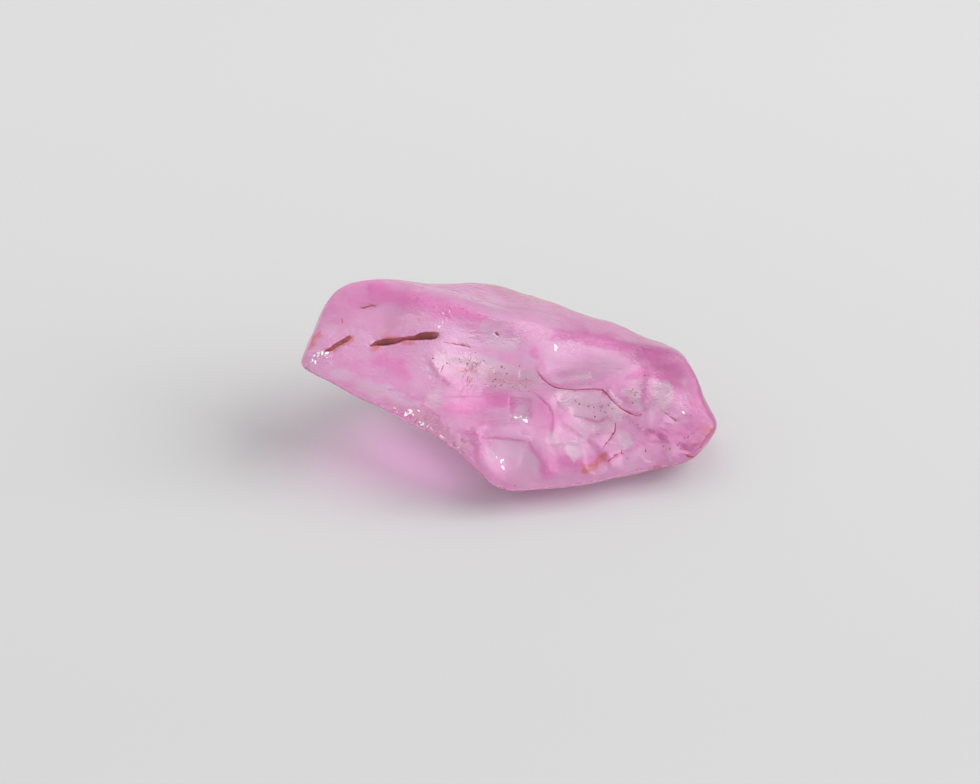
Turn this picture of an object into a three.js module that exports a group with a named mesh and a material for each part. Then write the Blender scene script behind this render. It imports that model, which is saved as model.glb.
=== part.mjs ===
// Rough sapphire: one broken, water-worn piece of corundum that lies on its flat underside.
// Millimetres, +Z up, X along the stone's length. The origin is at the middle of the footprint, at the base.
import * as THREE from "three";
import { mergeVertices } from "three/addons/utils/BufferGeometryUtils.js";

// Driving dimensions
const BASE_HEIGHT = 0; // the flat parting face that the stone lies on
const HEART = new THREE.Vector3(0.3, 0.1, 2.0); // a point well inside, from which the skin is measured
const EDGE_WEAR = 0.08; // how softly the fracture faces run into each other
const SEAM_WEAR = 0.12; // how softly the two halves of the stone run into each other
const RIM_WEAR = 0.04; // how softly the hollows and ledges break away, which are fresher
const SWELL_LENGTHS = new THREE.Vector3(3.1, 2.3, 1.9); // one gentle wave of the faces along X, Y and Z
const SWELL_HEIGHT = 0.05; // how far the waves lift or sink a face
const SKIN_DETAIL = 19; // each of the 20 starting triangles is split into (detail + 1) squared
const STRETCH = new THREE.Vector3(1.9, 1.15, 1); // spreads the triangles evenly over a long stone
const FARTHEST_REACH = 9; // no part of the skin is farther than this from the heart
const ON_BASE = 1e-4; // corners lower than this are on the base
const BISECTIONS = 30; // halvings that find the skin along a ray
const EVENING_PASSES = 8; // rounds that spread the corners evenly over the skin
const WEAR_PASSES = 2; // rounds of rubbing that take the sharpness off every corner
const RUB_SHARE = 0.5; // how far a corner moves towards its neighbours in one round

// Fracture faces, each through a point on the stone with its outward direction.
// The stone is two lumps grown together, and these faces bound both of them.
const SHARED_FACES = {
  backTop: { at: [-1.12, 0.97, 4.46], out: [0.26, 0.17, 0.95] },
  rightEnd: { at: [5.53, -0.27, 2.1], out: [0.92, 0.22, 0.395] },
  rightUnder: { at: [5.56, -1.37, 1.1], out: [0.8, -0.25, -0.55] },
  rightShoulder: { at: [4.86, 0.7, 3.25], out: [0.65, 0.46, 0.65] },
  backRight: { at: [2.63, 1.68, 3.36], out: [0.35, 0.58, 0.73] },
  backShoulder: { at: [-0.6, 2.7, 4.18], out: [0.17, 0.66, 0.72] },
  back: { at: [0, 3.3, 2], out: [0, 1, 0.05] },
  backUnder: { at: [0, 3.2, 1.2], out: [0, 0.7, -0.71] },
  backLeft: { at: [-4.6, 2.2, 3], out: [-0.62, 0.78, 0.0] },
  backLeftUnder: { at: [-4.0, 1.6, 2], out: [-0.6, 0.4, -0.68] },
  backRightSide: { at: [4.2, 2, 1.4], out: [0.6, 0.8, 0.05] },
  frontUnder: { at: [2.59, -2.62, 0.84], out: [0.17, -0.53, -0.84] },
};

// The higher lump with the ridge, which hangs over on the left
const LEFT_FACES = {
  frontLeft: { at: [-3.13, 1.07, 5.35], out: [0.02, -0.69, 0.71] },
  frontMiddle: { at: [0.6, 0.74, 4.1], out: [0.18, -0.62, 0.76] },
  leftEnd: { at: [-5.9, 0.35, 2.9], out: [-0.94, 0.22, 0.345] },
  leftBack: { at: [-3.9, 1.3, 5.15], out: [-0.1, 0.75, 0.65] },
  leftUnder: { at: [-3.11, -1.93, 2.46], out: [-0.42, -0.45, -0.79] },
};

// The lower lump with the smooth top, the hump behind the ridge and the toe in front
const RIGHT_FACES = {
  frontRight: { at: [2.59, -0.86, 2.6], out: [0.24, -0.72, 0.65] },
  topRight: { at: [2.59, -0.86, 2.65], out: [0.08, -0.27, 0.96] },
  toeUnder: { at: [-0.5, -3.17, 1.12], out: [-0.8, -0.43, -0.62] },
  humpLeft: { at: [-2.6, 2.3, 3.7], out: [-0.8, 0.3, 0.5] },
};

// Shell-shaped hollows: the deepest point of each, the way it opens and the radius of its bowl
const HOLLOWS = {
  window: { deepest: [-0.59, -0.7, 2.88], out: [0.16, -0.55, 0.82], radius: 3.0 },
  underLedge: { deepest: [2.08, -1.12, 2.01], out: [0.22, -0.69, 0.68], radius: 1.2 },
  triangle: { deepest: [3.35, -0.73, 2.16], out: [0.22, -0.69, 0.69], radius: 0.6 },
  lowerWindow: { deepest: [3.26, -1.6, 1.39], out: [0.2, -0.66, 0.72], radius: 0.8 },
  crescent: { deepest: [4.15, -0.04, 2.55], out: [0.16, -0.51, 0.85], radius: 0.9 },
  toeFacet: { deepest: [0.16, -2.51, 1.46], out: [0.22, -0.69, 0.69], radius: 1.3 },
  leftBrow: { deepest: [-3.39, 0.36, 4.18], out: [-0.1, -0.67, 0.74], radius: 3.4 },
  leftNotch: { deepest: [-5.66, 0.6, 3.8], out: [-0.85, 0.2, 0.4], radius: 0.9 },
  frontLip: { deepest: [2.2, -2.72, 0.85], out: [0.1, -0.9, -0.4], radius: 2.5 },
  backBowl: { deepest: [1.3, 3.0, 1.7], out: [0.1, 1, 0.1], radius: 2.4 },
  backLeftBowl: { deepest: [-3.6, 2.3, 2.7], out: [-0.62, 0.78, 0], radius: 2.2 },
  underBowl: { deepest: [-3.1, -0.4, 1.65], out: [-0.42, -0.45, -0.79], radius: 2.5 },
  rightBowl: { deepest: [4.6, 1.3, 1.5], out: [0.7, 0.7, 0.1], radius: 1.6 },
  saddle: { deepest: [0.9, 2.1, 3.74], out: [0.25, 0.4, 0.88], radius: 2.6 },
};

// Steps where the stone parted: what is both above the tread and beyond the riser is gone
const LEDGES = {
  back: { at: [0.6, 2.75, 2.75], tread: [0.12, 0.1, 0.98], riser: [0.15, 0.98, 0.05] },
  leftBack: { at: [-3.3, 2.15, 3.6], tread: [-0.2, 0.15, 0.97], riser: [-0.35, 0.93, 0.1] },
};

const toPoint = (xyz) => new THREE.Vector3(...xyz);
const toDirection = (xyz) => toPoint(xyz).normalize();
const toPlane = (at, out) =>
  new THREE.Plane().setFromNormalAndCoplanarPoint(toDirection(out), toPoint(at));

const lumps = [LEFT_FACES, RIGHT_FACES].map((own) =>
  Object.values({ ...SHARED_FACES, ...own }).map(({ at, out }) => toPlane(at, out)),
);
const bowls = Object.values(HOLLOWS).map(
  ({ deepest, out, radius }) =>
    new THREE.Sphere(toPoint(deepest).addScaledVector(toDirection(out), radius), radius),
);
const steps = Object.values(LEDGES).map(({ at, tread, riser }) => [toPlane(at, tread), toPlane(at, riser)]);

function softGreatest(values, softness) {
  const greatest = Math.max(...values);
  const sum = values.reduce((total, v) => total + Math.exp((v - greatest) / softness), 0);
  return greatest + softness * Math.log(sum);
}

const softLeast = (values, softness) => -softGreatest(values.map((v) => -v), softness);

// The faces aren't quite flat: crossing waves swell and sink them a little
function swell(point) {
  const x = (2 * Math.PI * point.x) / SWELL_LENGTHS.x;
  const y = (2 * Math.PI * point.y) / SWELL_LENGTHS.y;
  const z = (2 * Math.PI * point.z) / SWELL_LENGTHS.z;
  return SWELL_HEIGHT * (Math.sin(x + Math.sin(y)) * Math.cos(z) + Math.sin(y - x) * Math.sin(z));
}

// How far a point lies outside the stone, in millimetres: negative inside
function outside(point) {
  const beyondPlane = (plane) => plane.distanceToPoint(point);
  const beyondLumps = lumps.map((faces) => softGreatest(faces.map(beyondPlane), EDGE_WEAR));
  const inHollows = bowls.map((bowl) => -bowl.distanceToPoint(point));
  const onSteps = steps.map((planes) => softLeast(planes.map(beyondPlane), RIM_WEAR));
  const skin = softLeast(beyondLumps, SEAM_WEAR) - swell(point);
  return Math.max(softGreatest([skin, ...inHollows, ...onSteps], RIM_WEAR), BASE_HEIGHT - point.z);
}

// Moves a point along its ray from the heart until it is on the skin
const ray = new THREE.Vector3();
function moveToSkin(point) {
  ray.copy(point).sub(HEART).normalize();
  let inner = 0;
  let outer = FARTHEST_REACH;
  for (let i = 0; i < BISECTIONS; i++) {
    const middle = (inner + outer) / 2;
    point.copy(ray).multiplyScalar(middle).add(HEART);
    if (outside(point) > 0) outer = middle;
    else inner = middle;
  }
}

function putOnSkin(geometry) {
  const position = geometry.getAttribute("position");
  const point = new THREE.Vector3();
  for (let i = 0; i < position.count; i++) {
    moveToSkin(point.fromBufferAttribute(position, i));
    position.setXYZ(i, point.x, point.y, point.z);
  }
}

// Each corner moves towards the middle of its neighbours, and the base stays flat
function rub(geometry) {
  const position = geometry.getAttribute("position");
  const index = geometry.getIndex();
  const sums = Array.from({ length: position.count }, () => new THREE.Vector3());
  const counts = new Array(position.count).fill(0);
  const corner = new THREE.Vector3();
  for (let i = 0; i < index.count; i++) {
    const here = index.getX(i);
    const next = index.getX(i % 3 === 2 ? i - 2 : i + 1);
    sums[here].add(corner.fromBufferAttribute(position, next));
    counts[here] += 1;
  }
  for (let i = 0; i < position.count; i++) {
    corner.fromBufferAttribute(position, i);
    const onBase = corner.z - BASE_HEIGHT < ON_BASE;
    corner.lerp(sums[i].divideScalar(counts[i]), RUB_SHARE);
    position.setXYZ(i, corner.x, corner.y, onBase ? BASE_HEIGHT : corner.z);
  }
}

function stoneGeometry() {
  const ball = new THREE.IcosahedronGeometry(1, SKIN_DETAIL);
  ball.deleteAttribute("normal");
  ball.deleteAttribute("uv");
  const geometry = mergeVertices(ball);
  geometry.scale(STRETCH.x, STRETCH.y, STRETCH.z);
  geometry.translate(HEART.x, HEART.y, HEART.z);
  putOnSkin(geometry);
  for (let i = 0; i < EVENING_PASSES; i++) {
    rub(geometry);
    putOnSkin(geometry);
  }
  for (let i = 0; i < WEAR_PASSES; i++) rub(geometry);
  return geometry;
}

// The footprint's middle becomes the origin
function centreFootprint(geometry) {
  geometry.computeBoundingBox();
  const middle = geometry.boundingBox.getCenter(new THREE.Vector3());
  geometry.translate(-middle.x, -middle.y, -BASE_HEIGHT);
}

const geometry = stoneGeometry();
centreFootprint(geometry);
geometry.computeVertexNormals();

const sapphire = new THREE.MeshStandardMaterial({ color: 0xe3a0cc, roughness: 0.2, metalness: 0 });
const stone = new THREE.Mesh(geometry, sapphire);
stone.name = "sapphire";

const part = new THREE.Group();
part.add(stone);

export default part;
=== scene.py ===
# %% [markdown]
# # A rough pink sapphire
# The object is one small broken crystal of pink corundum, see-through and a little cloudy, that lies on
# a pale floor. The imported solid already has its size, its place and its main forms. This script keeps
# that frame and adds what the eye wants close up: a finer broken skin, rust in the cracks, colour that
# gathers in bands and thins out in windows, and soft light.

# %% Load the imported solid
import math

import bmesh
import bpy
import numpy as np
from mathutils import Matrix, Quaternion, Vector, noise
from mathutils.bvhtree import BVHTree


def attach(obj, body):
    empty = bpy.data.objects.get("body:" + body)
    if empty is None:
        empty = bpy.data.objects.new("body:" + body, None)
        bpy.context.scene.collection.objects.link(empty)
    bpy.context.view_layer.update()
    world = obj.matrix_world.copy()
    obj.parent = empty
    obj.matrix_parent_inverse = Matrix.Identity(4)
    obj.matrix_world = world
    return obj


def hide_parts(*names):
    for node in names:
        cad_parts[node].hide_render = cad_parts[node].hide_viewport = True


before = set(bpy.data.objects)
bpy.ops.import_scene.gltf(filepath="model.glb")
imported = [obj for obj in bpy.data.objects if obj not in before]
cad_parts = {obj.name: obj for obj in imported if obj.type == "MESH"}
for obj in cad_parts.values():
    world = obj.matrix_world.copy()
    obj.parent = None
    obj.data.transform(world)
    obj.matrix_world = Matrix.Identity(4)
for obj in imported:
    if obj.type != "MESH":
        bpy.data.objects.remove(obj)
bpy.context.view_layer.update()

MM = 0.001

# %% [markdown]
# ## The camera
# The stone is seen from a little above its front, with a long lens that hardly bends the perspective.
# The camera comes first, because the places of cracks and colours are read off the picture and thrown
# along the camera's rays onto the stone. The picture's own size in pixels gives each ray its direction.

# %% Camera at the picture's angle
IMAGE_WIDTH = 980
IMAGE_HEIGHT = 784
ELEVATION = math.radians(35)
CAMERA_DISTANCE = 160 * MM
LENS = 200
SENSOR = 36
AIM = Vector((-0.55, 2.75, 0)) * MM

towards_camera = Vector((0, -math.cos(ELEVATION), math.sin(ELEVATION)))
picture_up = Vector((0, math.sin(ELEVATION), math.cos(ELEVATION)))
picture_right = Vector((1, 0, 0))
focal_pixels = LENS / SENSOR * IMAGE_WIDTH

camera = bpy.data.objects.new("camera", bpy.data.cameras.new("camera"))
camera.data.lens = LENS
camera.data.sensor_width = SENSOR
camera.data.clip_start = 10 * MM
camera.location = AIM + towards_camera * CAMERA_DISTANCE
camera.rotation_euler = (math.pi / 2 - ELEVATION, 0, 0)
bpy.context.scene.collection.objects.link(camera)
bpy.context.scene.camera = camera


def pixel_ray(pixel):
    """The direction from the camera through a pixel of the picture."""
    across = pixel[0] - IMAGE_WIDTH / 2
    up = IMAGE_HEIGHT / 2 - pixel[1]
    return (picture_right * across + picture_up * up - towards_camera * focal_pixels).normalized()


print("camera at", [round(v / MM, 1) for v in camera.location], "mm")

# %% [markdown]
# ## A finer copy of the stone
# The solid's triangles are a quarter of a millimetre across, which shows as facets close up. A copy is
# merged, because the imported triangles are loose, and subdivided twice, so that it has room for details
# of a tenth of a millimetre. The copy will stand for the solid, which itself stays as it is.

# %% Merge and subdivide a copy
MERGE_DISTANCE = 0.001 * MM
SUBDIVISIONS = 2


def add_piece(name, mesh):
    """Puts a mesh into the scene as an object at the origin."""
    piece = bpy.data.objects.new(name, mesh)
    bpy.context.scene.collection.objects.link(piece)
    return piece


def work_in_modifiers(piece):
    """Swaps the piece's mesh for the plain result of its modifiers and removes them."""
    evaluated = piece.evaluated_get(bpy.context.evaluated_depsgraph_get())
    mesh = bpy.data.meshes.new_from_object(evaluated)
    piece.modifiers.clear()
    piece.data = mesh


stone = add_piece("sapphire_stone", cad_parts["sapphire"].data.copy())
work = bmesh.new()
work.from_mesh(stone.data)
bmesh.ops.remove_doubles(work, verts=work.verts, dist=MERGE_DISTANCE)
work.to_mesh(stone.data)
work.free()
stone.data.materials.clear()
smoothing = stone.modifiers.new("finer", "SUBSURF")
smoothing.levels = smoothing.render_levels = SUBDIVISIONS
work_in_modifiers(stone)
print("finer stone:", len(stone.data.vertices), "corners,", len(stone.data.polygons), "faces")

# %% [markdown]
# ## Where things are on the stone
# Marks could be painted as an image, but an image has no size and needs a map of the surface. Here every
# mark is a stroke: a line of a few points with a width at each point. The points are pixels of the
# picture, the widths are millimetres. A ray through each pixel finds the stone's surface, so a stroke
# lies on the stone and looks right from any side. The first strokes are the cracks that hold rust.

# %% Cracks, as strokes
CRACKS = {
    "main": ([(371, 346), (377, 343), (386, 342), (396, 341), (403, 338.6), (414, 338), (422, 336),
              (431, 335.7), (437, 335)],
             [0.07, 0.13, 0.18, 0.14, 0.09, 0.12, 0.21, 0.21, 0.16]),
    "left": ([(326, 351), (332, 348), (340, 343), (346, 340), (350, 337)], [0.06, 0.09, 0.1, 0.11, 0.09]),
    "faint": ([(443, 342), (455, 344), (462, 345), (470, 347)], [0.01, 0.02, 0.03, 0.01]),
    "ledge": ([(537, 371), (543, 379), (549, 384), (556, 387.6), (565, 389), (575, 390), (586, 389),
               (595, 388.7), (602, 389.7), (607, 394), (612, 400.5), (619, 407), (628, 412), (635, 415.5),
               (640, 416), (641, 413.7)],
              [0.01, 0.02, 0.02, 0.03, 0.02, 0.02, 0.02, 0.02,
               0.03, 0.02, 0.03, 0.02, 0.03, 0.03, 0.02, 0.01]),
    "lower": ([(615.5, 423), (615, 431), (610.5, 438), (605.5, 444), (603, 449)],
              [0.02, 0.03, 0.02, 0.02, 0.01]),
    "toe": ([(615, 456), (611, 459), (608, 461.5)], [0.02, 0.03, 0.02]),
    "right": ([(660, 409), (668, 415), (676, 421)], [0.01, 0.01, 0.03]),
    "corner": ([(686, 455), (690, 456.5), (694, 457)], [0.06, 0.05, 0.04]),
    "brow": ([(363, 308), (368, 306.5), (377, 305)], [0.02, 0.04, 0.01]),
    "dot": ([(496, 333), (498, 335)], [0.07, 0.05]),
    "left_dot": ([(342, 319), (343, 323)], [0.03, 0.04]),
}
print(len(CRACKS), "cracks")

# %% [markdown]
# Where the crystal is thin and clean it looks almost clear: these are its windows. Elsewhere the pink
# gathers in bands, partly real and partly painted shade, such as the dark crescent at the right end. The
# right end and the top right are darker still by painted shade. Rubbed places turn a milky lilac, and
# the same pale lilac is painted as highlight on the ridge, the toe facet and the notch. The hump at the
# back is dull and sandy, rust has seeped in beside the cracks, and a warm tint along the rim is painted
# light.

# %% Colours, as strokes
COLOURS = {
    "window": [
        ([(440, 369), (470, 367), (500, 374), (526, 380)], [0.6, 0.8, 1.0, 0.8]),
        ([(572, 404), (602, 412)], [0.8, 1.0]),
        ([(622, 391), (634, 393), (636, 405)], [0.3, 0.5, 0.4]),
        ([(617, 432), (624, 446)], [0.4, 0.5]),
        ([(556, 380), (575, 382), (592, 383)], [0.2, 0.26, 0.16]),
        ([(556, 440), (580, 448)], [0.5, 0.5]),
        ([(662, 384), (662, 398)], [0.45, 0.45]),
        ([(440, 392), (432, 402)], [0.4, 0.5]),
        ([(390, 330), (402, 322)], [0.3, 0.3]),
    ],
    # milky lilac where the skin is rubbed, and painted highlight on the ridge, the toe facet and the
    # notch's lower slope
    "lilac_wear_and_highlight": [
        ([(498, 452), (520, 455), (532, 464)], [0.8, 0.9, 0.5]),
        ([(385, 283), (430, 288), (462, 295), (490, 304), (525, 315)], [0.14, 0.28, 0.34, 0.3, 0.16]),
        ([(340, 368), (352, 372)], [0.4, 0.4]),
        ([(362, 382), (392, 392), (412, 404)], [0.4, 0.5, 0.4]),
        ([(520, 404), (520, 412)], [0.5, 0.5]),
        ([(485, 328), (520, 342)], [0.6, 0.5]),
        ([(512, 417), (528, 418)], [0.2, 0.2]),
    ],
    "sandy": [
        ([(440, 283), (500, 287), (540, 300), (585, 314)], [0.8, 1.2, 1.0, 0.5]),
        ([(455, 372), (500, 378), (528, 384)], [0.3, 0.5, 0.4]),
        ([(385, 335), (405, 325)], [0.35, 0.35]),
        ([(395, 408), (430, 426), (460, 446)], [0.4, 0.5, 0.4]),
    ],
    "band_and_shade": [
        ([(452, 408), (480, 404), (508, 402)], [0.5, 0.7, 0.5]),
        ([(538, 402), (548, 412), (552, 425)], [0.2, 0.4, 0.4]),
        # the dark crescent at the right end: painted shade, where light is thrown back inside the crystal
        ([(622, 381), (636, 376), (652, 373), (668, 377), (675, 392)], [0.14, 0.3, 0.4, 0.4, 0.24]),
        ([(372, 294), (400, 296), (440, 306), (480, 318)], [0.8, 0.7, 0.7, 0.5]),
        ([(545, 468), (600, 458)], [0.4, 0.5]),
        ([(380, 362), (402, 366)], [0.6, 0.6]),
        ([(535, 352), (541, 372)], [0.3, 0.3]),
        ([(500, 492), (540, 488)], [0.3, 0.3]),
    ],
    # painted shade: the right end and the top right are darkened in colour where the lamp lights them
    # most
    "painted_shade": [
        ([(684, 368), (704, 400), (702, 430), (686, 446)], [1.0, 1.4, 1.4, 0.9]),
        ([(560, 333), (620, 343), (672, 364)], [0.5, 0.8, 0.8]),
        ([(652, 428), (684, 436)], [0.5, 0.8]),
    ],
    "rust_stain_and_rim_light": [
        ([(605, 456), (598, 464), (592, 471)], [0.2, 0.34, 0.3]),
        ([(653, 418), (654, 427)], [0.18, 0.14]),
        ([(371, 347), (404, 340), (437, 336)], [0.2, 0.22, 0.3]),
        ([(326, 351), (350, 337)], [0.2, 0.22]),
        # along the right outline: painted rim light, not rust
        ([(650, 469), (688, 464), (709, 434), (711, 412)], [0.16, 0.24, 0.26, 0.2]),
        ([(359, 308), (395, 303)], [0.16, 0.1]),
        ([(420, 316), (421, 320)], [0.12, 0.12]),
        # along the left outline: painted rim light, not rust
        ([(306, 362), (308, 346), (316, 330)], [0.16, 0.18, 0.12]),
    ],
}
print("strokes of colour:", {name: len(strokes) for name, strokes in COLOURS.items()})

# %% [markdown]
# Other strokes mark the relief: the sharp ridge, places broken into facets, and crumbly edges full of
# tiny chips. The last three say where small grains lie: rust specks, rust needles and white flakes as
# painted glints.

# %% Relief and grains, as strokes
TEXTURES = {
    "ridge": [
        # the ridge is raised on the skin, and its pale tint is a painted highlight
        ([(385, 283), (430, 288), (462, 295), (490, 304), (520, 313)], [0.2, 0.32, 0.34, 0.26, 0.1]),
    ],
    "broken": [
        ([(430, 375), (480, 380), (530, 375)], [0.8, 1.0, 0.7]),
        ([(575, 408), (610, 412), (650, 420)], [1.0, 2.0, 1.6]),
        ([(440, 430), (520, 452), (600, 448), (670, 445)], [0.8, 1.1, 1.5, 1.2]),
    ],
    "crumble": [
        ([(372, 400), (400, 412), (430, 428), (458, 446), (472, 466)], [0.3, 0.6, 0.7, 0.6, 0.3]),
        ([(306, 364), (322, 356)], [0.5, 0.4]),
        ([(650, 462), (690, 452)], [0.5, 0.5]),
        ([(395, 395), (420, 402)], [0.5, 0.5]),
    ],
    "speck": [
        ([(436, 370), (470, 366), (500, 372), (528, 378)], [0.5, 0.8, 1.0, 0.9]),
        ([(560, 396), (600, 404)], [0.5, 0.6]),
        ([(628, 392), (632, 402)], [0.4, 0.3]),
        ([(620, 460), (650, 452), (690, 448)], [0.6, 0.8, 0.8]),
        ([(560, 440), (570, 448)], [0.3, 0.3]),
        ([(415, 424), (452, 446)], [0.3, 0.3]),
        ([(500, 488), (530, 486)], [0.4, 0.4]),
    ],
    "streak": [
        ([(438, 373), (447, 366)], [0.2, 0.2]),
        ([(468, 378), (474, 358)], [0.3, 0.3]),
        ([(482, 362), (490, 360)], [0.2, 0.2]),
        ([(408, 418), (428, 429), (452, 446)], [0.16, 0.2, 0.16]),
        ([(512, 352), (514, 356)], [0.12, 0.12]),
    ],
    # where the stone glints: the white flakes there are painted highlights, along the lower left edge
    # also pale crumbs
    "glint": [
        ([(440, 312), (449, 311)], [0.14, 0.16]),
        ([(443, 318), (439, 329)], [0.1, 0.13]),
        ([(467, 444), (468, 461)], [0.05, 0.07]),
        ([(466, 463), (479, 474)], [0.08, 0.06]),
        ([(498, 457), (503, 467)], [0.1, 0.1]),
        ([(553, 350), (556, 343)], [0.07, 0.06]),
        ([(683.5, 413), (684, 416)], [0.07, 0.07]),
        ([(512, 414), (527, 419)], [0.14, 0.16]),
        ([(310, 362), (325, 354)], [0.16, 0.14]),
        ([(402, 413), (418, 412)], [0.1, 0.12]),
        ([(510, 342), (511, 343)], [0.06, 0.06]),
        ([(612, 408), (613, 409)], [0.05, 0.05]),
        ([(392, 408), (410, 417), (432, 429), (458, 447)], [0.04, 0.06, 0.06, 0.05]),
    ],
}
print("strokes of texture:", {name: len(strokes) for name, strokes in TEXTURES.items()})

# %% [markdown]
# A crystal also breaks in steps: along a line, one side stands higher than the other and slopes away
# from it. The side to the left of the line's direction is the high one. The number is the share of the
# full height.

# %% Steps, as lines
STEPS = [
    ([(466, 433), (485, 438), (505, 438), (524, 441)], 1.0),
    ([(508, 394), (480, 397), (443, 398)], 1.0),
    ([(541, 376), (549, 384), (575, 390), (602, 390), (612, 400), (628, 412), (640, 416)], 0.35),
    ([(529, 443), (539, 457), (546, 471)], 1.0),
    ([(540, 398), (549, 406), (553, 418), (552, 427)], 0.5),
    ([(612, 459), (630, 449), (645, 443)], 1.0),
    ([(640, 446), (655, 434), (664, 426)], 1.0),
    ([(586, 419), (598, 422), (608, 418)], 0.8),
    ([(645, 380), (643, 395), (644, 410)], 0.7),
    ([(430, 362), (436, 374), (448, 384)], 0.5),
    ([(476, 444), (476, 460), (486, 476)], 1.0),
]
print(len(STEPS), "steps")

# %% [markdown]
# ## From strokes to numbers on the mesh
# The faces of the stone are put in a tree that finds the face a ray hits first. With it, a pixel of the
# picture becomes a point of the stone.

# %% From a pixel to the stone
def faces_of(piece):
    """The faces of a piece in a form that rays can be shot at."""
    mesh = piece.data
    return BVHTree.FromPolygons([v.co for v in mesh.vertices], [p.vertices for p in mesh.polygons])


def on_stone(pixel):
    """The point of the stone that a pixel of the picture shows, and its outward direction."""
    point, out, _, _ = faces.ray_cast(camera.location, pixel_ray(pixel))
    return point, out


faces = faces_of(stone)
middle, _ = on_stone((IMAGE_WIDTH / 2, IMAGE_HEIGHT / 2))
print("the picture's middle shows the stone at", [round(v / MM, 2) for v in middle], "mm")

# %% [markdown]
# For each corner of the mesh, the distance to the nearest stroke over that stroke's half width says how
# much of a mark it has. These helpers measure the distances, turn them into amounts from 0 to 1 and keep
# the amounts on the mesh, where node trees can read them.

# %% From strokes to amounts
FAR = 1e3
corners = np.array([v.co for v in stone.data.vertices])


def off_line(places, start, end):
    """For each place, the share of a straight line at its nearest point, and the way from there."""
    along = end - start
    t = np.clip((places - start) @ along / (along @ along), 0, 1)
    return t, places - start - t[:, None] * along


def stroke_share(strokes, places):
    """For each place, its distance to the nearest stroke over the half width there."""
    share = np.full(len(places), FAR)
    for pixels, widths in strokes:
        hits = [(on_stone(pixel)[0], width * MM) for pixel, width in zip(pixels, widths)]
        hits = [(np.array(point), width) for point, width in hits if point is not None]
        for (start, start_width), (end, end_width) in zip(hits, hits[1:]):
            t, off = off_line(places, start, end)
            gap = np.linalg.norm(off, axis=1)
            share = np.minimum(share, 2 * gap / (start_width + t * (end_width - start_width)))
    return share


def fade(share, inner, outer):
    """1 up to the inner number, 0 beyond the outer one, smooth between."""
    t = np.clip((outer - share) / (outer - inner), 0, 1)
    return t * t * (3 - 2 * t)


def store(piece, name, values):
    """Keeps one number for each corner of a piece under a name that node trees can read."""
    attribute = piece.data.attributes.new(name, "FLOAT", "POINT")
    attribute.data.foreach_set("value", np.ascontiguousarray(values, dtype=np.float32))


print(len(corners), "corners can hold marks")

# %% [markdown]
# Colours in a crystal have no neat borders. So the corners are moved astray by a seeded noise, in a wide
# and a narrow wave, before their distance to a stroke is taken. Sharp marks keep their true place. The
# sides that the picture doesn't show get facets all over, because a broken stone is broken all around.
# Each mark has its own fade, in half widths of its stroke: all of it inside the first number, nothing
# beyond the second one.

# %% Marks on the mesh
FADES = {
    "window": (0.4, 1.5),
    "lilac_wear_and_highlight": (0.3, 1.5),
    "sandy": (0.2, 1.5),
    "band_and_shade": (0.1, 1.8),
    "painted_shade": (0.1, 1.6),
    "rust_stain_and_rim_light": (0.1, 1.6),
    "ridge": (0.0, 1.3),
    "broken": (0.6, 1.3),
    "crumble": (0.5, 1.4),
    "speck": (0.6, 1.2),
    "streak": (0.8, 1.1),
    "glint": (0.8, 1.1),
}
CRACK_FADE = (0.8, 1.6)
EXACT = ("ridge", "streak", "glint")
WARP_SEED = 5
WARPS = {1.1 * MM: 0.3 * MM, 0.3 * MM: 0.12 * MM}
UNSEEN_BREAKS = 0.7
UNSEEN_FADE = (-0.3, 0.2)

noise.seed_set(WARP_SEED)
astray = corners.copy()
for size, reach in WARPS.items():
    astray += reach * np.array([noise.noise_vector(v.co / size) for v in stone.data.vertices])
facing = np.array([v.normal.dot(towards_camera) for v in stone.data.vertices])
for mark, strokes in {**COLOURS, **TEXTURES}.items():
    amount = fade(stroke_share(strokes, corners if mark in EXACT else astray), *FADES[mark])
    if mark == "broken":
        amount = np.maximum(amount, UNSEEN_BREAKS * fade(facing, *UNSEEN_FADE))
    store(stone, mark, amount)
    print(mark, "covers", round(100 * float(np.mean(amount > 0.5)), 2), "% of the stone")
store(stone, "crack", fade(stroke_share(CRACKS.values(), corners), *CRACK_FADE))

# %% [markdown]
# At a step the height jumps from nothing to its full value and then falls off over half a millimetre. A
# narrow seam of colour follows the jump. The underside is frosted by wear, which is told by how far the
# surface faces down.

# %% Steps and frost on the mesh
STEP_REACH = 0.5 * MM
SEAM_WIDTH = 0.09 * MM
SEAM_FADE = (0.2, 1)
FROST_FADE = (0.35, 0.6)

step_height = np.zeros(len(corners))
seam = np.zeros(len(corners))
for pixels, height in STEPS:
    points = [np.array(point) for point, _ in map(on_stone, pixels) if point is not None]
    nearest = np.full(len(corners), FAR)
    side = np.zeros(len(corners))
    for start, end in zip(points, points[1:]):
        _, off = off_line(corners, start, end)
        gap = np.linalg.norm(off, axis=1)
        side = np.where(gap < nearest, off @ np.cross(towards_camera, end - start), side)
        nearest = np.minimum(nearest, gap)
    raised = np.where(side > 0, height * fade(nearest / STEP_REACH, 0, 1), 0)
    step_height = np.maximum(step_height, raised)
    seam = np.maximum(seam, fade(nearest / SEAM_WIDTH, *SEAM_FADE))
store(stone, "step", step_height)
store(stone, "seam", seam)
downward = -np.array([v.normal.z for v in stone.data.vertices])
store(stone, "frost", 1 - fade(downward, *FROST_FADE))
print("raised by a step:", round(100 * float(np.mean(step_height > 0)), 1), "% of the stone")

# %% [markdown]
# Above the toe there is one square notch, such as a neighbour crystal leaves when it breaks away. It is
# too angular for a stroke, so its borders are given as picture pixels: the depth grows from the upper
# edge to a crease and shrinks again to the lower edge.

# %% The square notch
SQUARE = {"left": 509, "right": 531, "top": 397, "bottom": 421, "deepest": 0.55, "depth": 0.2 * MM}
SQUARE_REACH = 1 * MM

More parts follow.
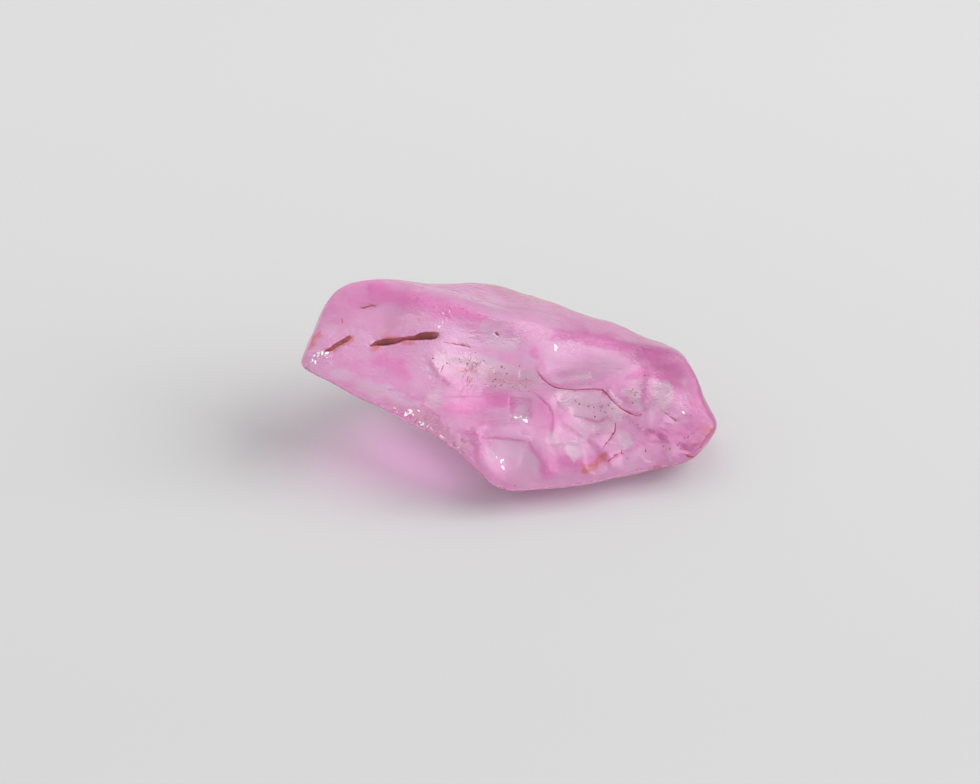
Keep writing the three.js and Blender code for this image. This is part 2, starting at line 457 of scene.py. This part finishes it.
seen = corners - np.array(camera.location)
depth_from_camera = -seen @ np.array(towards_camera)
across = IMAGE_WIDTH / 2 + focal_pixels * (seen @ np.array(picture_right)) / depth_from_camera
down = IMAGE_HEIGHT / 2 - focal_pixels * (seen @ np.array(picture_up)) / depth_from_camera
middle, _ = on_stone(((SQUARE["left"] + SQUARE["right"]) / 2, (SQUARE["top"] + SQUARE["bottom"]) / 2))
near = np.linalg.norm(corners - np.array(middle), axis=1) < SQUARE_REACH
drop = (down - SQUARE["top"]) / (SQUARE["bottom"] - SQUARE["top"])
slope = np.minimum(drop / SQUARE["deepest"], (1 - drop) / (1 - SQUARE["deepest"]))
inside = near & (across > SQUARE["left"]) & (across < SQUARE["right"])
store(stone, "notch", np.where(inside, np.clip(slope, 0, 1) * SQUARE["depth"], 0))
print("notch of", int(np.sum(inside & (slope > 0))), "corners")

# %% [markdown]
# ## A node with its settings and links
# All trees below are made by one small function. It adds a node, sets its options, fills its inputs with
# plain values or with links, and hands back the output that the next node needs.

# %% One function for nodes
def node(tree, kind, inputs=None, out=0, **settings):
    """Adds one node to a tree with its settings, values and links, and returns one of its outputs."""
    made = tree.nodes.new(kind)
    for name, value in settings.items():
        setattr(made, name, value)
    for name, value in (inputs or {}).items():
        if isinstance(value, bpy.types.NodeSocket):
            tree.links.new(value, made.inputs[name])
        else:
            made.inputs[name].default_value = value
    return made.outputs[out] if made.outputs else None


# %% [markdown]
# A Geometry Nodes tree has named inputs and ends as real geometry with a material on it. The values of a
# run are set on the modifier by each input's identifier, and only the plain mesh of the result is kept.

# %% Geometry Nodes trees and their runs
def new_tree(name, sockets):
    """An empty Geometry Nodes tree with named inputs, and the outputs of its input node."""
    tree = bpy.data.node_groups.new(name, "GeometryNodeTree")
    for socket, kind in {"Geometry": "Geometry", **sockets, "Material": "Material"}.items():
        tree.interface.new_socket(socket, in_out="INPUT", socket_type="NodeSocket" + kind)
    tree.interface.new_socket("Geometry", in_out="OUTPUT", socket_type="NodeSocketGeometry")
    return tree, node(tree, "NodeGroupInput").node.outputs


def close_tree(tree, geometry, material):
    """Ends a tree: real geometry with its material on it."""
    geometry = node(tree, "GeometryNodeRealizeInstances", {"Geometry": geometry})
    geometry = node(tree, "GeometryNodeSetMaterial", {"Geometry": geometry, "Material": material})
    node(tree, "NodeGroupOutput", {"Geometry": geometry})


def grow(piece, tree, values):
    """Runs a tree on a piece with the values of its named inputs, and keeps the plain mesh."""
    modifier = piece.modifiers.new(tree.name, "NODES")
    modifier.node_group = tree
    for item in tree.interface.items_tree:
        if item.in_out == "INPUT" and item.name in values:
            modifier[item.identifier] = values[item.name]
    work_in_modifiers(piece)


# %% [markdown]
# ## The broken skin
# Corundum has no cleavage: it breaks in shallow shell-shaped scallops, and river sand then rubs it. The
# skin could be sculpted by hand, but a Geometry Nodes tree keeps every size in millimetres and grows the
# same skin each time. It moves every corner along its normal by a sum of rules, each with its size and
# depth here. Near the floor the rules fade out, so the resting face stays flat.

# %% The skin's values
SKIN = {
    "Scallop size": 1.6 * MM,
    "Scallop depth": 0.05 * MM,
    "Grain size": 0.3 * MM,
    "Grain depth": 0.008 * MM,
    "Facet size": 0.95 * MM,
    "Facet depth": 0.16 * MM,
    "Chip size": 0.24 * MM,
    "Chip depth": 0.18 * MM,
    "Ridge height": 0.04 * MM,
    "Step height": 0.07 * MM,
    "Crack depth": 0.05 * MM,
    "Floor fade": 0.3 * MM,
    "Seed": 7.0,
}
print("skin:", {name: round(value / MM, 3) for name, value in SKIN.items() if name != "Seed"}, "mm")

# %% [markdown]
# Scallops are the smooth cells of a Voronoi pattern, and a soft noise over them is the grain. Facets are
# other cells: each one is a small plane with a tilt of its own, and noise bends the borders between
# them. Noise and cell colours run from 0 to 1, so their middle is taken off to let them go both ways.

# %% Rules of the skin
MIDDLE = 0.5
CENTRE = (MIDDLE, MIDDLE, MIDDLE)


def scallops_and_grain(tree, given, place):
    """The height of wide scallops and of the fine grain over them."""
    per_scallop = node(tree, "ShaderNodeMath", {0: 1.0, 1: given["Scallop size"]}, operation="DIVIDE")
    bowls = node(tree, "ShaderNodeTexVoronoi",
                 {"Vector": place, "W": given["Seed"], "Scale": per_scallop, "Smoothness": 0.5},
                 voronoi_dimensions="4D", feature="SMOOTH_F1")
    bowls = node(tree, "ShaderNodeMath", {0: bowls, 1: MIDDLE}, operation="SUBTRACT")
    lift = node(tree, "ShaderNodeMath", {0: bowls, 1: given["Scallop depth"]}, operation="MULTIPLY")
    per_grain = node(tree, "ShaderNodeMath", {0: 1.0, 1: given["Grain size"]}, operation="DIVIDE")
    grain = node(tree, "ShaderNodeTexNoise",
                 {"Vector": place, "W": given["Seed"], "Scale": per_grain, "Detail": 3.0},
                 noise_dimensions="4D")
    grain = node(tree, "ShaderNodeMath", {0: grain, 1: MIDDLE}, operation="SUBTRACT")
    return node(tree, "ShaderNodeMath", {0: grain, 1: given["Grain depth"], 2: lift},
                operation="MULTIPLY_ADD")


def tilted_facets(tree, given, place, kind):
    """The height of facets or chips: cells that are planes, each with its own tilt."""
    per_grain = node(tree, "ShaderNodeMath", {0: 1.0, 1: given["Grain size"]}, operation="DIVIDE")
    bend = node(tree, "ShaderNodeTexNoise", {"Vector": place, "Scale": per_grain, "Detail": 1.0},
                out="Color")
    bend = node(tree, "ShaderNodeVectorMath", {0: bend, 1: CENTRE}, operation="SUBTRACT")
    bend = node(tree, "ShaderNodeVectorMath", {0: bend, "Scale": given["Grain size"]}, operation="SCALE")
    bent = node(tree, "ShaderNodeVectorMath", {0: place, 1: bend}, operation="ADD")
    per_cell = node(tree, "ShaderNodeMath", {0: 1.0, 1: given[kind + " size"]}, operation="DIVIDE")
    cells = node(tree, "ShaderNodeTexVoronoi", {"Vector": bent, "Scale": per_cell}, out="Color")
    tilt = node(tree, "ShaderNodeVectorMath", {0: cells, 1: CENTRE}, operation="SUBTRACT")
    arm = node(tree, "ShaderNodeVectorMath", {0: place, 1: cells.node.outputs["Position"]},
               operation="SUBTRACT")
    arm = node(tree, "ShaderNodeVectorMath", {0: arm, "Scale": per_cell}, operation="SCALE")
    return node(tree, "ShaderNodeVectorMath", {0: tilt, 1: arm}, out="Value", operation="DOT_PRODUCT")


# %% [markdown]
# The tree adds the rules up: scallops and grain everywhere, facets and chips where they are marked, the
# ridge and the steps upwards, the beds of the cracks and the square notch downwards.

# %% The skin's tree
def skin_tree():
    """A tree that moves the stone's corners along their normals by the rules of a broken skin."""
    tree, given = new_tree("broken skin", {name: "Float" for name in SKIN})
    place = node(tree, "GeometryNodeInputPosition")
    mark = {name: node(tree, "GeometryNodeInputNamedAttribute", {"Name": name}, data_type="FLOAT")
            for name in ("ridge", "step", "broken", "crumble", "crack", "notch")}
    lift = scallops_and_grain(tree, given, place)
    for kind, where in (("Facet", "broken"), ("Chip", "crumble")):
        plane = tilted_facets(tree, given, place, kind)
        plane = node(tree, "ShaderNodeMath", {0: plane, 1: mark[where]}, operation="MULTIPLY")
        lift = node(tree, "ShaderNodeMath", {0: plane, 1: given[kind + " depth"], 2: lift},
                    operation="MULTIPLY_ADD")
    for name in ("ridge", "step"):
        lift = node(tree, "ShaderNodeMath", {0: mark[name], 1: given[name.title() + " height"], 2: lift},
                    operation="MULTIPLY_ADD")
    sunk = node(tree, "ShaderNodeMath", {0: mark["crack"], 1: given["Crack depth"], 2: mark["notch"]},
                operation="MULTIPLY_ADD")
    lift = node(tree, "ShaderNodeMath", {0: lift, 1: sunk}, operation="SUBTRACT")

    height = node(tree, "ShaderNodeSeparateXYZ", {0: place}, out="Z")
    off_floor = node(tree, "ShaderNodeMapRange", {"Value": height, "From Max": given["Floor fade"]},
                     interpolation_type="SMOOTHSTEP")
    lift = node(tree, "ShaderNodeMath", {0: lift, 1: off_floor}, operation="MULTIPLY")
    normal = node(tree, "GeometryNodeInputNormal")
    move = node(tree, "ShaderNodeVectorMath", {0: normal, "Scale": lift}, operation="SCALE")
    moved = node(tree, "GeometryNodeSetPosition", {"Geometry": given["Geometry"], "Offset": move})
    moved = node(tree, "GeometryNodeSetShadeSmooth", {"Geometry": moved})
    close_tree(tree, moved, given["Material"])
    return tree


skin = skin_tree()
print("skin tree:", len(skin.nodes), "nodes")

# %% [markdown]
# ## The sapphire itself
# A crystal's colour is uneven all through. These are its two pinks, the tint of every mark with the
# softness of its border, and the tints of pale veils and dust. Hex codes are made for screens, so one
# function turns them into the linear numbers that shaders work with.

# %% Tints
TINTS = {
    # a darker, greyer pink: painted shade on the right end and the top right
    "painted_shade": ("#E884C4", 0.5),
    # real colour bands, and painted shade in the crescent at the right end
    "band_and_shade": ("#FF9ADC", 0.5),
    "window": ("#FFFCFE", 0.35),
    # milky lilac of wear, and painted highlight
    "lilac_wear_and_highlight": ("#FAF4FF", 0.4),
    "sandy": ("#F6DCE0", 0.5),
    # rust stains beside the cracks, and painted rim light along the outline
    "rust_stain_and_rim_light": ("#EE8A6C", 0.5),
    # a pale line: painted highlight along the ridge
    "ridge": ("#FFEAF8", 0.5),
    "seam": ("#FFB4E0", 0.5),
    "crack": ("#A8485A", 0.3),
}
GROUND = ("#FFB2E5", "#FFE0F9")
VEIL = "#FFF2FB"
DUST = "#FFEAF6"


def to_linear(code):
    """An sRGB hex colour as the linear numbers that shaders work with."""
    channels = [int(code[i:i + 2], 16) / 255 for i in (1, 3, 5)]
    return [c / 12.92 if c <= 0.04045 else ((c + 0.055) / 1.055) ** 2.4 for c in channels] + [1.0]


print("tints:", {name: tint for name, (tint, _) in TINTS.items()})

# %% [markdown]
# Clouds of two pinks and pale veils, where noise passes its middle, make the ground colour. Every mark
# then mixes its tint in, with a ragged border: its amount is shaken by fine fibres and cut to a soft
# edge. A dusting of pale grains comes last. All sizes are real ones in millimetres.

# %% Colour of the crystal
CLOUD_SIZE = 1.2 * MM
CLOUD_RANGE = (0.3, 0.7)
FIBRE_SIZE = 0.22 * MM
FIBRE_STRETCH = (0.16, 1.0, 1.0)
VEIL_SIZE = 0.8 * MM
VEIL_EDGE = 0.09
VEIL_SHARE = 0.35
DUST_SIZE = 0.07 * MM
DUST_RANGE = (0.5, 0.75)
DUST_SHARE = 0.4
RAGGED = 1.2
EDGE = 0.55


def crystal_colour(tree, place):
    """The colour of the crystal, the amount of each mark in it, and the fibres."""
    clouds = node(tree, "ShaderNodeTexNoise", {"Vector": place, "Scale": 1 / CLOUD_SIZE, "Detail": 5.0})
    clouds = node(tree, "ShaderNodeMapRange", {"Value": clouds, "From Min": CLOUD_RANGE[0],
                                               "From Max": CLOUD_RANGE[1]})
    colour = node(tree, "ShaderNodeMix", {0: clouds, 6: to_linear(GROUND[0]), 7: to_linear(GROUND[1])},
                  out=2, data_type="RGBA")
    along = node(tree, "ShaderNodeMapping", {"Vector": place, "Scale": FIBRE_STRETCH})
    fibres = node(tree, "ShaderNodeTexNoise", {"Vector": along, "Scale": 1 / FIBRE_SIZE, "Detail": 4.0})
    veils = node(tree, "ShaderNodeTexNoise",
                 {"Vector": place, "Scale": 1 / VEIL_SIZE, "Detail": 5.0, "Distortion": 0.8})
    veils = node(tree, "ShaderNodeMath", {0: veils, 1: MIDDLE}, operation="SUBTRACT")
    veils = node(tree, "ShaderNodeMath", {0: veils}, operation="ABSOLUTE")
    veils = node(tree, "ShaderNodeMapRange",
                 {"Value": veils, "From Max": VEIL_EDGE, "To Min": VEIL_SHARE, "To Max": 0.0})
    colour = node(tree, "ShaderNodeMix", {0: veils, 6: colour, 7: to_linear(VEIL)}, out=2,
                  data_type="RGBA")

    uneven = node(tree, "ShaderNodeMath", {0: fibres, 1: MIDDLE}, operation="SUBTRACT")
    amount = {}
    for name, (tint, softness) in TINTS.items():
        mark = node(tree, "ShaderNodeAttribute", out="Fac", attribute_name=name)
        ragged = node(tree, "ShaderNodeMath", {0: uneven, 1: RAGGED, 2: mark}, operation="MULTIPLY_ADD")
        amount[name] = node(tree, "ShaderNodeMapRange",
                            {"Value": ragged, "From Min": EDGE - softness, "From Max": EDGE + softness},
                            interpolation_type="SMOOTHSTEP")
        colour = node(tree, "ShaderNodeMix", {0: amount[name], 6: colour, 7: to_linear(tint)}, out=2,
                      data_type="RGBA")
    dust = node(tree, "ShaderNodeTexNoise", {"Vector": place, "Scale": 1 / DUST_SIZE, "Detail": 2.0})
    dust = node(tree, "ShaderNodeMapRange",
                {"Value": dust, "From Min": DUST_RANGE[0], "From Max": DUST_RANGE[1],
                 "To Max": DUST_SHARE})
    colour = node(tree, "ShaderNodeMix", {0: dust, 6: colour, 7: to_linear(DUST)}, out=2,
                  data_type="RGBA")
    return colour, amount, fibres


print("clouds, fibres and veils:", [round(v / MM, 2) for v in (CLOUD_SIZE, FIBRE_SIZE, VEIL_SIZE)], "mm")

# %% [markdown]
# Corundum bends light strongly, with an index of 1.77. Its surface is glossy in fresh breaks, the
# windows, satin where it is worn, and frosted below. The pink sits in the crystal, so it deepens with
# the way that light travels in it: that is absorption. Fine veils scatter some light. Scattering inside
# the volume would be slow and noisy, so a small matt share beside the clear transmission gives it. The
# worn skin mirrors less than a polished face would: that is the specular tint. The warm sheen stands in
# for the warm rim of refracted light along the outline. The grit on the skin is drawn coarser than it
# is, so that it shows.

# %% Pink sapphire
GLOSS = {"window": 0.14, "frost": 0.85}
SATIN = (0.21, 0.262)
WEAR_SIZE = 0.9 * MM
WEAR_RANGE = (0.35, 0.65)
GRIT_SIZE = 0.1 * MM
GRIT_HEIGHT = 0.02 * MM


def pink_sapphire():
    """Rough corundum: see-through pink with cloudy veils, glossy breaks and satin worn skin."""
    material = bpy.data.materials.new("pink sapphire, rough")
    material.use_nodes = True
    tree = material.node_tree
    tree.nodes.clear()
    place = node(tree, "ShaderNodeTexCoord", out="Object")
    colour, amount, fibres = crystal_colour(tree, place)

    worn = node(tree, "ShaderNodeTexNoise", {"Vector": place, "Scale": 1 / WEAR_SIZE, "Detail": 2.0})
    roughness = node(tree, "ShaderNodeMapRange",
                     {"Value": worn, "From Min": WEAR_RANGE[0], "From Max": WEAR_RANGE[1],
                      "To Min": SATIN[0], "To Max": SATIN[1]})
    amount["frost"] = node(tree, "ShaderNodeAttribute", out="Fac", attribute_name="frost")
    for name, value in GLOSS.items():
        roughness = node(tree, "ShaderNodeMix", {0: amount[name], 2: roughness, 3: value})
    grit = node(tree, "ShaderNodeTexNoise", {"Vector": place, "Scale": 1 / GRIT_SIZE, "Detail": 3.0})
    relief = node(tree, "ShaderNodeMath", {0: grit, 1: fibres}, operation="ADD")
    bump = node(tree, "ShaderNodeBump", {"Height": relief, "Strength": 0.8, "Distance": GRIT_HEIGHT})

    shader = node(tree, "ShaderNodeBsdfPrincipled", {
        "Base Color": colour, "Roughness": roughness, "Normal": bump, "IOR": 1.77,
        "Transmission Weight": 0.82, "Specular Tint": to_linear("#D4B0C8"), "Sheen Weight": 0.3,
        "Sheen Roughness": 0.3, "Sheen Tint": to_linear("#FFB49A")}, distribution="MULTI_GGX")
    depth = node(tree, "ShaderNodeVolumeAbsorption", {"Color": to_linear("#FFBEF0"), "Density": 60.0})
    node(tree, "ShaderNodeOutputMaterial", {"Surface": shader, "Volume": depth})
    return material


sapphire = pink_sapphire()
print(sapphire.name, "has", len(sapphire.node_tree.nodes), "nodes")

# %% [markdown]
# The skin is grown once, and the finished mesh takes the solid's place in the frame.

# %% Grow the skin
grow(stone, skin, {**SKIN, "Material": sapphire})
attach(stone, "root")
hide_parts("sapphire")
print("skin:", len(stone.data.vertices), "corners,", [m.name for m in stone.data.materials])

# %% [markdown]
# ## Rust in the cracks
# Ground water left rust in the stone's open cracks: dark brown where it fills a wide one, dull red where
# it is only a film. The material reads the width of the fill where it is known.

# %% Iron oxide
LUMP_SIZE = 0.12 * MM
LUMP_DEPTH = 0.08 * MM
FILM_TO_FILL = (0.05 * MM, 0.15 * MM)


def iron_oxide():
    """Rust and clay: dark brown where it fills a wide crack, dull red where it is a thin film."""
    material = bpy.data.materials.new("iron oxide")
    material.use_nodes = True
    tree = material.node_tree
    tree.nodes.clear()
    place = node(tree, "ShaderNodeTexCoord", out="Object")
    lumps = node(tree, "ShaderNodeTexNoise", {"Vector": place, "Scale": 1 / LUMP_SIZE, "Detail": 4.0})
    lumps = node(tree, "ShaderNodeMath", {0: lumps, 1: LUMP_DEPTH}, operation="MULTIPLY")
    half = node(tree, "ShaderNodeAttribute", out="Fac", attribute_name="half_width")
    thick = node(tree, "ShaderNodeMath", {0: lumps, 1: half}, operation="ADD")
    share = node(tree, "ShaderNodeMapRange",
                 {"Value": thick, "From Min": FILM_TO_FILL[0], "From Max": FILM_TO_FILL[1]})
    colour = node(tree, "ShaderNodeMix", {0: share, 6: to_linear("#A24A4C"), 7: to_linear("#6E2C2C")},
                  out=2, data_type="RGBA")
    shader = node(tree, "ShaderNodeBsdfPrincipled", {"Base Color": colour, "Roughness": 0.6})
    node(tree, "ShaderNodeOutputMaterial", {"Surface": shader})
    return material


rust = iron_oxide()
print(rust.name, "has", len(rust.node_tree.nodes), "nodes")

# %% [markdown]
# Each crack shows as a thread in its bed, thicker and thinner along its way. Dark paint on the skin would
# look flat close up, so the fill is real. A thread follows a path: Geometry Nodes sweep a small ring
# along it, as wide as the crack, and roughen the result.

# %% The thread's tree
THREAD = {"Lump size": 0.09 * MM, "Lump share": 0.6}


def thread_tree():
    """A tree that sweeps a ring along the paths, as wide as they say, and roughens the thread."""
    tree, given = new_tree("rust thread", {name: "Float" for name in THREAD})
    path = node(tree, "GeometryNodeMeshToCurve", {"Mesh": given["Geometry"]})
    ring = node(tree, "GeometryNodeCurvePrimitiveCircle", {"Resolution": 10, "Radius": 1.0})
    half = node(tree, "GeometryNodeInputNamedAttribute", {"Name": "half_width"}, data_type="FLOAT")
    thread = node(tree, "GeometryNodeCurveToMesh",
                  {"Curve": path, "Profile Curve": ring, "Scale": half, "Fill Caps": True})
    place = node(tree, "GeometryNodeInputPosition")
    per_lump = node(tree, "ShaderNodeMath", {0: 1.0, 1: given["Lump size"]}, operation="DIVIDE")
    lumps = node(tree, "ShaderNodeTexNoise", {"Vector": place, "Scale": per_lump, "Detail": 2.0},
                 out="Color")
    lumps = node(tree, "ShaderNodeVectorMath", {0: lumps, 1: CENTRE}, operation="SUBTRACT")
    height = node(tree, "ShaderNodeMath", {0: half, 1: given["Lump share"]}, operation="MULTIPLY")
    lumps = node(tree, "ShaderNodeVectorMath", {0: lumps, "Scale": height}, operation="SCALE")
    thread = node(tree, "GeometryNodeSetPosition", {"Geometry": thread, "Offset": lumps})
    close_tree(tree, thread, given["Material"])
    return tree


thread = thread_tree()
print("thread tree:", len(thread.nodes), "nodes")

# %% [markdown]
# The paths are points close together along each crack, shot onto the finished skin and sunk a little
# below it. All paths lie in one mesh of points and edges, with the half width at each point. The step
# between points is in pixels, and sinking and swelling are shares of the half width.

# %% Rust threads
PATH_STEP = 1.2
FEWEST_POINTS = 4
SINK = 0.3
SWELL = 1.15


def crack_path(pixels, widths):
    """Points close together along a crack, a little below the skin, with the thread's half width."""
    spans = np.r_[0, np.cumsum(np.linalg.norm(np.diff(pixels, axis=0), axis=1))]
    steps = np.linspace(0, spans[-1], max(FEWEST_POINTS, round(spans[-1] / PATH_STEP)))
    path = []
    for step in steps:
        half = np.interp(step, spans, widths) * MM / 2
        pixel = [np.interp(step, spans, places) for places in zip(*pixels)]
        point, out = on_stone(pixel)
        path.append((point - out * half * SINK, half * SWELL))
    return path


faces = faces_of(stone)
paths = [crack_path(*crack) for crack in CRACKS.values()]
starts = np.cumsum([0] + [len(path) for path in paths])
links = [(i, i + 1) for start, end in zip(starts, starts[1:]) for i in range(start, end - 1)]
path_mesh = bpy.data.meshes.new("crack_fill")
path_mesh.from_pydata([point for path in paths for point, _ in path], links, [])
fill = add_piece("crack_fill", path_mesh)
store(fill, "half_width", [half for path in paths for _, half in path])
grow(fill, thread, {**THREAD, "Material": rust})
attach(fill, "root")
print("crack fill:", len(fill.data.vertices), "corners,", len(fill.data.polygons), "faces")

# %% [markdown]
# ## Specks, needles and painted glints
# The clear windows are dusted with rust specks, and fine rust needles stand side by side in them. Where
# the stone glints, white flakes are strewn: painted highlights, and along the lower left edge pale crumbs
# too.

# %% White flakes, painted glints
def painted_glint_material():
    """White grains put where the stone glints: painted highlights, white under any lamp."""
    material = bpy.data.materials.new("painted glint, white")
    material.use_nodes = True
    tree = material.node_tree
    tree.nodes.clear()
    shader = node(tree, "ShaderNodeBsdfPrincipled",
                  {"Base Color": to_linear("#FFFAFF"), "Roughness": 0.15, "IOR": 1.77})
    node(tree, "ShaderNodeOutputMaterial", {"Surface": shader})
    return material


glint_paint = painted_glint_material()
print(glint_paint.name, "has", len(glint_paint.node_tree.nodes), "nodes")

# %% [markdown]
# All three are small grains strewn over the marked places. They repeat, so one Geometry Nodes tree makes
# them with different numbers. Each grain lies flat on the skin, is turned along a lean with some spread,
# and has a size of its own, between a smallest and a largest share of the usual one.

# %% The grains' tree
SMALLEST = 0.35
LARGEST = 1.5


def grain_tree():
    """A tree that strews flat grains over the marked places of a mesh and keeps only the grains."""
    tree, given = new_tree("strewn grains", {"Mark": "String", "Density": "Float", "Size": "Float",
                                             "Length": "Float", "Spread": "Float", "Lean": "Vector",
                                             "Seed": "Int"})
    mark = node(tree, "GeometryNodeInputNamedAttribute", {"Name": given["Mark"]}, data_type="FLOAT")
    density = node(tree, "ShaderNodeMath", {0: mark, 1: given["Density"]}, operation="MULTIPLY")
    points = node(tree, "GeometryNodeDistributePointsOnFaces",
                  {"Mesh": given["Geometry"], "Density": density, "Seed": given["Seed"]})
    flat = points.node.outputs["Rotation"]
    astray = node(tree, "FunctionNodeRandomValue",
                  {0: (-1.0, -1.0, -1.0), 1: (1.0, 1.0, 1.0), "Seed": given["Seed"]},
                  data_type="FLOAT_VECTOR")
    astray = node(tree, "ShaderNodeVectorMath", {0: astray, "Scale": given["Spread"]}, operation="SCALE")
    lean = node(tree, "ShaderNodeVectorMath", {0: given["Lean"], 1: astray}, operation="ADD")
    turned = node(tree, "FunctionNodeAlignRotationToVector", {"Rotation": flat, "Vector": lean}, axis="Y",
                  pivot_axis="Z")
    some = node(tree, "FunctionNodeRandomValue", {2: SMALLEST, 3: LARGEST, "Seed": given["Seed"]}, out=1,
                data_type="FLOAT")
    size = node(tree, "ShaderNodeMath", {0: some, 1: given["Size"]}, operation="MULTIPLY")
    length = node(tree, "ShaderNodeMath", {0: size, 1: given["Length"]}, operation="MULTIPLY")
    scale = node(tree, "ShaderNodeCombineXYZ", {"X": size, "Y": length, "Z": given["Size"]})
    grain = node(tree, "GeometryNodeMeshIcoSphere", {"Radius": 1.0, "Subdivisions": 1})
    grains = node(tree, "GeometryNodeInstanceOnPoints",
                  {"Points": points, "Instance": grain, "Rotation": turned, "Scale": scale})
    close_tree(tree, grains, given["Material"])
    return tree


strewn = grain_tree()
print("grain tree:", len(strewn.nodes), "nodes")

# %% [markdown]
# Specks are short and lie any way round, needles are long and nearly side by side, and the white flakes
# of painted glints are the largest. Density is a number of grains on a square millimetre.

# %% Strewn grains
GRAINS = {
    "rust_specks": {"Mark": "speck", "Density": 16 / MM ** 2, "Size": 0.018 * MM, "Length": 1.4,
                    "Spread": 1.0, "Seed": 3},
    "rust_needles": {"Mark": "streak", "Density": 50 / MM ** 2, "Size": 0.007 * MM, "Length": 16.0,
                     "Spread": 0.12, "Seed": 5},
    "painted_glint_flakes": {"Mark": "glint", "Density": 110 / MM ** 2, "Size": 0.03 * MM, "Length": 2.0,
                     "Spread": 1.0, "Seed": 8},
}
LEAN = (0.2, 0.95, 0.1)

stuffs = {"rust_specks": rust, "rust_needles": rust, "painted_glint_flakes": glint_paint}
for name, values in GRAINS.items():
    grains = add_piece(name, stone.data.copy())
    grow(grains, strewn, {**values, "Lean": LEAN, "Material": stuffs[name]})
    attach(grains, "root")
    print(name, len(grains.data.polygons), "faces")

# %% [markdown]
# ## Floor
# The stone lies on a plain pale floor without an edge. Its colour is a little brighter towards the back:
# painted light, for light that is stronger there. A single square does for it, a hair below the stone so
# that their faces don't fight.

# %% Matt floor
FLOOR_GAP = 0.02 * MM
FLOOR_SIZE = 3.0
FLOOR_FRONT = -12 * MM
FLOOR_BACK = 20 * MM


def matt_board():
    """Matt off-white board: an even pale grey, painted a little brighter towards the back as light."""
    material = bpy.data.materials.new("matt board, off-white")
    material.use_nodes = True
    tree = material.node_tree
    tree.nodes.clear()
    place = node(tree, "ShaderNodeTexCoord", out="Object")
    depth = node(tree, "ShaderNodeSeparateXYZ", {0: place}, out="Y")
    share = node(tree, "ShaderNodeMapRange",
                 {"Value": depth, "From Min": FLOOR_FRONT, "From Max": FLOOR_BACK})
    colour = node(tree, "ShaderNodeMix", {0: share, 6: to_linear("#C1C1C1"), 7: to_linear("#C7C7C7")},
                  out=2, data_type="RGBA")
    shader = node(tree, "ShaderNodeBsdfPrincipled", {"Base Color": colour, "Roughness": 0.7})
    node(tree, "ShaderNodeOutputMaterial", {"Surface": shader})
    return material


half = FLOOR_SIZE / 2
outline = [(x, y, -FLOOR_GAP) for x, y in ((-half, -half), (half, -half), (half, half), (-half, half))]
floor_mesh = bpy.data.meshes.new("floor")
floor_mesh.from_pydata(outline, [], [(0, 1, 2, 3)])
floor = add_piece("floor", floor_mesh)
floor.data.materials.append(matt_board())
print("floor of", FLOOR_SIZE, "m")

# %% [markdown]
# ## Light
# A wide soft lamp stands to the right, a weak one above the back, and white surroundings fill the rest,
# so that the clear stone has light to show on every side. In the picture a pink glow lies on the floor
# around the stone: light that went through it. Rendered light is mostly thrown back inside the crystal
# and hardly gets down there, so three small pink lamps close to the floor stand for it. They shine
# straight down. Places, aims and sizes are millimetres.

# %% Lamps and surroundings
LIGHTS = {
    "above": {"place": (-100, 180, 450), "aim": (0, 0, 0), "size": (400, 400), "watts": 0.25},
    "right": {"place": (400, -40, 330), "aim": (0, 0, 0), "size": (500, 500), "watts": 2.8},
    "glow under the overhang": {"place": (-3.9, -1.1, 1.2), "aim": (-3.9, -1.1, 0), "size": (3.6, 2.0),
                                "watts": 1.25e-5, "colour": "#FFB0EC"},
    "glow at the left edge": {"place": (-2.9, -0.5, 0.75), "aim": (-2.9, -0.5, 0), "size": (4.4, 0.9),
                              "turn": -50, "watts": 7e-6, "colour": "#FF9BEF"},
    "glow at the front edge": {"place": (1.8, -2.5, 0.4), "aim": (1.8, -2.5, 0), "size": (4.4, 0.8),
                               "turn": 13, "watts": 2e-6, "colour": "#FF9BEF"},
}
WHITE = "#FFFFFF"
SURROUNDINGS = 0.70
BOUNCES = 32

for name, values in LIGHTS.items():
    light = bpy.data.objects.new(name, bpy.data.lights.new(name, "AREA"))
    light.data.shape = "RECTANGLE"
    light.data.size, light.data.size_y = [edge * MM for edge in values["size"]]
    light.data.energy = values["watts"]
    light.data.color = to_linear(values.get("colour", WHITE))[:3]
    light.location = Vector(values["place"]) * MM
    aim = (Vector(values["aim"]) * MM - light.location).to_track_quat("-Z", "Y")
    light.rotation_euler = (aim @ Quaternion((0, 0, 1), math.radians(values.get("turn", 0)))).to_euler()
    bpy.context.scene.collection.objects.link(light)
scene = bpy.context.scene
scene.world = bpy.data.worlds.new("white surroundings")
scene.world.use_nodes = True
background = scene.world.node_tree.nodes["Background"]
background.inputs["Color"].default_value = to_linear(WHITE)
background.inputs["Strength"].default_value = SURROUNDINGS
scene.view_settings.view_transform = "Standard"
scene.cycles.max_bounces = scene.cycles.transmission_bounces = scene.cycles.glossy_bounces = BOUNCES
print("lights:", list(LIGHTS))
